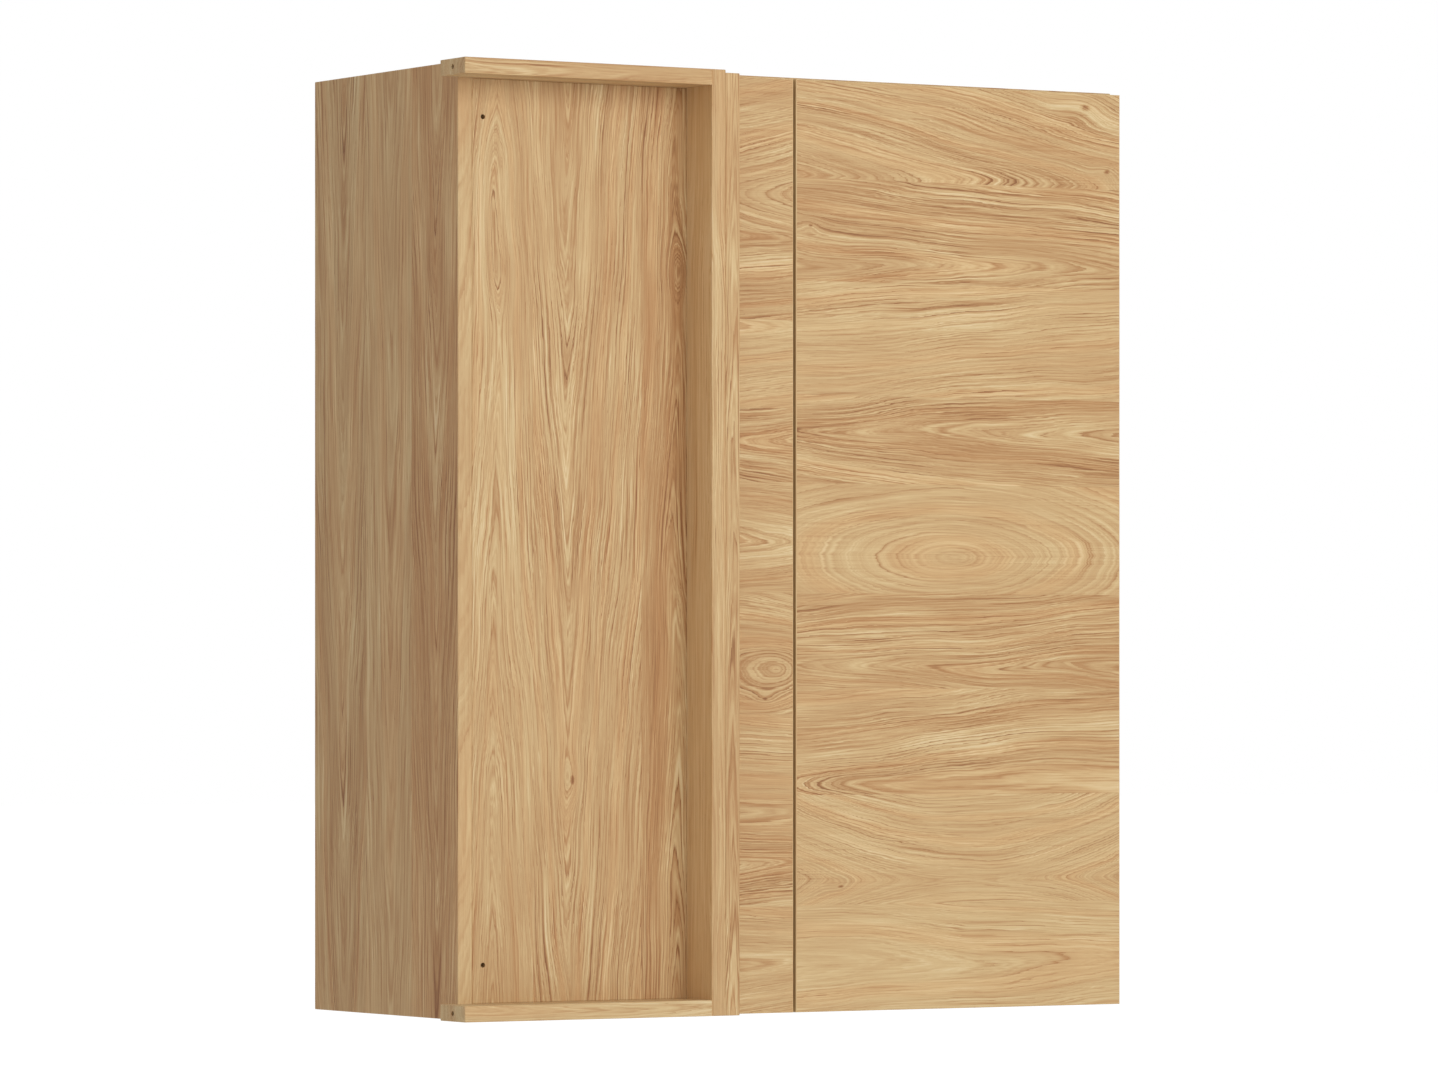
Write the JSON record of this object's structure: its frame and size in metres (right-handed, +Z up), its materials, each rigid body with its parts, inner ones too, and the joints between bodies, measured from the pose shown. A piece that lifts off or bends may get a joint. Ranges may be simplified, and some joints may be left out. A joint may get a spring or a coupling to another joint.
{
  "type": "hanging wall cabinet",
  "caption": "Blind-corner hanging wall cabinet of laminated hickory-look board: hinged handleless door, fixed blind panel, filler and projecting spacer frame, shelves inside.",
  "frame": {"origin": "in the wall plane, at the lower edge of the case's rear and midway between the case's sides", "axes": "+Z up, +Y towards the wall, +X to the right as seen from the front"},
  "size_m": [0.8, 0.35, 0.95],
  "materials": {
    "case_side_board": "matt laminated board, upright hickory grain",
    "case_board": "matt laminated board",
    "blind_board": "matt laminated board, upright cathedral grain",
    "frame_board": "matt laminated board",
    "front_board": "matt laminated board, level grain",
    "edge_band": "matt edge band in the front's grain",
    "hardboard": "printed hardboard",
    "dowel_beech": "bare fluted beech",
    "nickel_steel": "nickel-plated pressed steel",
    "zinc_screw": "bright zinc plate",
    "zinc_casting": "zinc die casting",
    "grey_plastic": "light grey moulded plastic",
    "brown_plastic": "wood-coloured moulded plastic",
    "soft_bumper": "translucent soft pad",
    "magnet": "plated magnet"
  },
  "bodies": {
    "case": {"back_panel": "hardboard", "blind_panel": "blind_board", "blind_panel_dowels": "dowel_beech", "bottom_panel": "case_board", "cam_bolts": "zinc_screw", "cam_cover_caps": "brown_plastic", "cam_discs": "zinc_casting", "case_dowels": "dowel_beech", "door_bumpers": "soft_bumper", "filler_edge_bands": "edge_band", "filler_panel": "front_board", "filler_screws": "zinc_screw", "filler_spacers": "brown_plastic", "filler_strip": "frame_board", "frame_dowels": "dowel_beech", "frame_post": "frame_board", "frame_rail_bottom": "frame_board", "frame_rail_top": "frame_board", "frame_screws": "zinc_screw", "hanger_adjusting_screws": "zinc_screw", "hanger_fixing_screws": "zinc_screw", "hanger_housing_left": "grey_plastic", "hanger_housing_right": "grey_plastic", "hinge_adjusting_screws": "zinc_screw", "hinge_arm_lower": "nickel_steel", "hinge_arm_middle": "nickel_steel", "hinge_arm_upper": "nickel_steel", "hinge_nose_rivets": "nickel_steel", "hinge_plate_lower": "nickel_steel", "hinge_plate_middle": "nickel_steel", "hinge_plate_screws": "zinc_screw", "hinge_plate_upper": "nickel_steel", "latch_housing": "grey_plastic", "latch_screws": "zinc_screw", "latch_spring": "nickel_steel", "shelf_pins_lower": "nickel_steel", "shelf_pins_upper": "nickel_steel", "side_panel_left": "case_side_board", "side_panel_right": "case_side_board", "top_panel": "case_board"},
    "door": {"door_panel": "front_board", "door_edge_bands": "edge_band", "hinge_cup_lower": "nickel_steel", "hinge_cup_middle": "nickel_steel", "hinge_cup_upper": "nickel_steel", "hinge_cup_pins": "nickel_steel", "hinge_cup_screws": "zinc_screw", "latch_strike_plate": "nickel_steel"},
    "hinge_links": {"hinge_link_lower": "nickel_steel", "hinge_link_middle": "nickel_steel", "hinge_link_upper": "nickel_steel"},
    "lower_shelf": {"shelf_lower": "case_board"},
    "upper_shelf": {"shelf_upper": "case_board"},
    "plunger": {"latch_plunger": "grey_plastic", "latch_magnet": "magnet"},
    "left_carrier": {"hanger_carrier_left": "grey_plastic"},
    "left_hook": {"hanger_hook_left": "nickel_steel"},
    "right_carrier": {"hanger_carrier_right": "grey_plastic"},
    "right_hook": {"hanger_hook_right": "nickel_steel"}
  },
  "joints": [
    {"name": "door_swing", "type": "hinge", "parent": "case", "child": "door", "pos_m": [0.3832, -0.3146, 0.475], "axis": [0, 0, 1], "range_deg": [0, 105]},
    {"name": "hinge_link_swing", "type": "hinge", "parent": "door", "child": "hinge_links", "pos_m": [0.3785, -0.3061, 0.475], "axis": [0, 0, 1], "range_deg": [-144, 0]},
    {"name": "latch_plunger_slide", "type": "slide", "parent": "case", "child": "plunger", "axis": [0, -1, 0], "range_m": [0, 0.0142]},
    {"name": "lower_shelf_lift", "type": "slide", "parent": "case", "child": "lower_shelf", "axis": [0, 0, 1], "range_m": [0, 0.03]},
    {"name": "upper_shelf_lift", "type": "slide", "parent": "case", "child": "upper_shelf", "axis": [0, 0, 1], "range_m": [0, 0.03]},
    {"name": "hanger_left_height", "type": "slide", "parent": "case", "child": "left_carrier", "axis": [0, 0, 1], "range_m": [-0.006, 0.006]},
    {"name": "hanger_left_depth", "type": "slide", "parent": "left_carrier", "child": "left_hook", "axis": [0, 1, 0], "range_m": [-0.008, 0.0015]},
    {"name": "hanger_right_height", "type": "slide", "parent": "case", "child": "right_carrier", "axis": [0, 0, 1], "range_m": [-0.006, 0.006]},
    {"name": "hanger_right_depth", "type": "slide", "parent": "right_carrier", "child": "right_hook", "axis": [0, 1, 0], "range_m": [-0.008, 0.0015]}
  ],
  "couplings": [
    {"joint": "hinge_link_swing", "follows": "door_swing", "ratio": -1.363},
    {"joint": "latch_plunger_slide", "follows": "door_swing", "m_per_rad": 0.00764}
  ]
}
